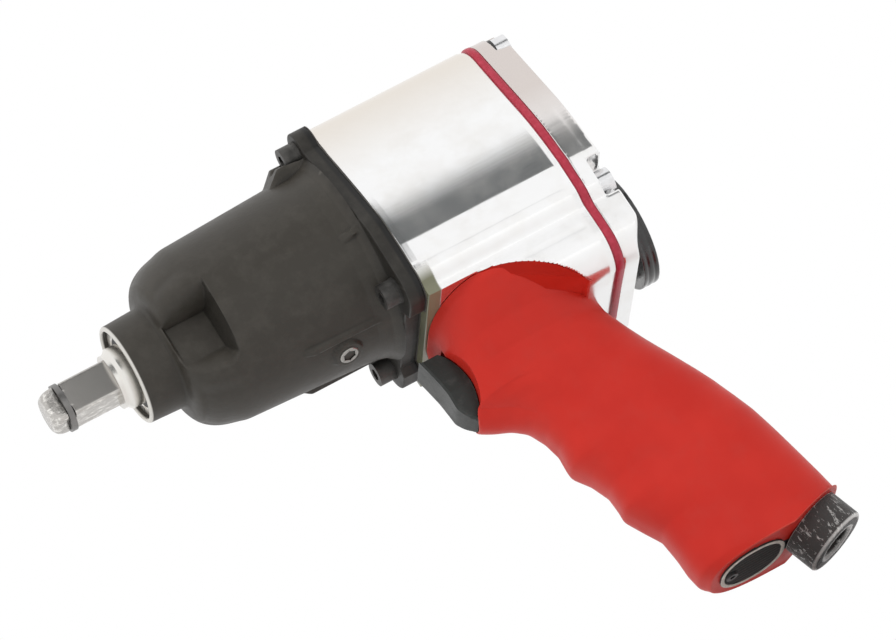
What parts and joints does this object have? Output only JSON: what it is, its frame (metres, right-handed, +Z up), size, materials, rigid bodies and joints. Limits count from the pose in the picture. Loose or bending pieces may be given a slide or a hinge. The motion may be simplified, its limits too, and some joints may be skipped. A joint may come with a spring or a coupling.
{
  "type": "impact wrench",
  "caption": "Pneumatic impact wrench with a square drive, a twin hammer mechanism, a vane motor, a rubber pistol grip, a trigger, a reverse dial and an air inlet in the handle.",
  "frame": {"origin": "On the spindle axis, at the shoulder where the square drive leaves the anvil's collar.", "axes": "+X runs forward along the spindle out of the square drive, +Y is the tool's left and +Z is up, so the handle points down and leans back."},
  "size_m": [0.2144, 0.081, 0.2147],
  "materials": {
    "black_cast": "cast aluminium, dark and slightly rough",
    "bright_steel": "ground and bright",
    "black_rubber": "soft black rubber",
    "gasket_paper": "pressed fibre",
    "black_steel": "black oxide",
    "polished_aluminium": "polished",
    "red_rubber": "moulded rubber with a satin sheen",
    "red_gasket": "pressed rubber sheet",
    "zinc_steel": "zinc plated",
    "steel": "machined",
    "brass": "turned",
    "vane_resin": "laminated resin",
    "drive_steel": "forged and ground",
    "black_plastic": "moulded, satin",
    "black_inlet": "cast, black, with bright wear",
    "muffler_felt": "felt",
    "gloss_black": "smooth and glossy"
  },
  "bodies": {
    "tool": {"hammer_case": "black_cast", "nose_bushing": "bright_steel", "nose_seal": "black_rubber", "front_gasket": "gasket_paper", "case_screws": "black_steel", "case_screw_washers": "black_steel", "oil_plug": "black_steel", "motor_housing": "polished_aluminium", "grip_sleeve": "red_rubber", "rear_gasket": "red_gasket", "rear_cover": "polished_aluminium", "rear_cover_screws": "zinc_steel", "rear_screw_washers": "zinc_steel", "cylinder_liner": "steel", "cylinder_pin": "steel", "front_end_plate": "steel", "rear_end_plate": "steel", "front_bearing_outer_race": "bright_steel", "rear_bearing_outer_race": "bright_steel", "thrust_washer": "brass", "rod_bushing": "brass", "rod_o_ring": "black_rubber", "valve_seat": "brass", "valve_seat_o_ring": "black_rubber", "valve_spring": "bright_steel", "air_inlet": "black_inlet", "inlet_screen": "bright_steel", "inlet_o_ring": "black_rubber", "exhaust_plate": "black_plastic", "exhaust_plate_screw": "zinc_steel", "exhaust_muffler": "muffler_felt", "reverse_bushing": "steel", "detent_ball": "bright_steel", "detent_spring": "bright_steel"},
    "rotor": {"rotor": "steel", "rotor_vanes": "vane_resin", "front_bearing_inner_race": "bright_steel", "rear_bearing_inner_race": "bright_steel", "hammer_cage": "steel", "hammer_pins": "bright_steel"},
    "anvil": {"anvil": "drive_steel", "socket_ring": "steel", "socket_o_ring": "black_rubber"},
    "front_balls": {"front_bearing_balls": "bright_steel", "front_ball_cage": "brass"},
    "rear_balls": {"rear_bearing_balls": "bright_steel", "rear_ball_cage": "brass"},
    "front_hammer": {"front_hammer": "steel"},
    "rear_hammer": {"rear_hammer": "steel"},
    "trigger": {"trigger": "black_plastic", "throttle_rod": "bright_steel"},
    "tilt_valve": {"tilt_valve": "brass"},
    "reverse_dial": {"reverse_dial": "gloss_black", "reverse_dial_screw": "zinc_steel", "reverse_valve": "brass", "reverse_valve_o_ring": "black_rubber"}
  },
  "joints": [
    {"name": "rotor_spin", "type": "hinge", "parent": "tool", "child": "rotor", "pos_m": [0, 0, 0], "axis": [1, 0, 0], "continuous": true},
    {"name": "anvil_spin", "type": "hinge", "parent": "tool", "child": "anvil", "pos_m": [0, 0, 0], "axis": [1, 0, 0], "continuous": true},
    {"name": "front_balls_spin", "type": "hinge", "parent": "tool", "child": "front_balls", "pos_m": [0, 0, 0], "axis": [1, 0, 0], "continuous": true},
    {"name": "rear_balls_spin", "type": "hinge", "parent": "tool", "child": "rear_balls", "pos_m": [0, 0, 0], "axis": [1, 0, 0], "continuous": true},
    {"name": "front_hammer_rock", "type": "hinge", "parent": "rotor", "child": "front_hammer", "pos_m": [0, 0, 0.0205], "axis": [1, 0, 0], "range_deg": [-4.5, 4.5]},
    {"name": "rear_hammer_rock", "type": "hinge", "parent": "rotor", "child": "rear_hammer", "pos_m": [0, 0, -0.0205], "axis": [1, 0, 0], "range_deg": [-4.5, 4.5]},
    {"name": "trigger_pull", "type": "slide", "parent": "tool", "child": "trigger", "axis": [-1, 0, 0], "range_m": [0, 0.005], "stiffness_N_per_m": 2000, "springref_m": -0.002},
    {"name": "valve_tilt", "type": "hinge", "parent": "tool", "child": "tilt_valve", "pos_m": [-0.14507, 0, -0.09019], "axis": [0, -1, 0], "range_deg": [0, 9.2], "deforming": ["valve_spring"]},
    {"name": "reverse_turn", "type": "hinge", "parent": "tool", "child": "reverse_dial", "pos_m": [0, 0, -0.0362], "axis": [1, 0, 0], "range_deg": [0, 90]}
  ],
  "couplings": [
    {"joint": "anvil_spin", "follows": "rotor_spin", "ratio": 1},
    {"joint": "front_balls_spin", "follows": "rotor_spin", "ratio": 0.3825},
    {"joint": "rear_balls_spin", "follows": "rotor_spin", "ratio": 0.3825},
    {"joint": "valve_tilt", "follows": "trigger_pull", "rad_per_m": 31.8}
  ]
}
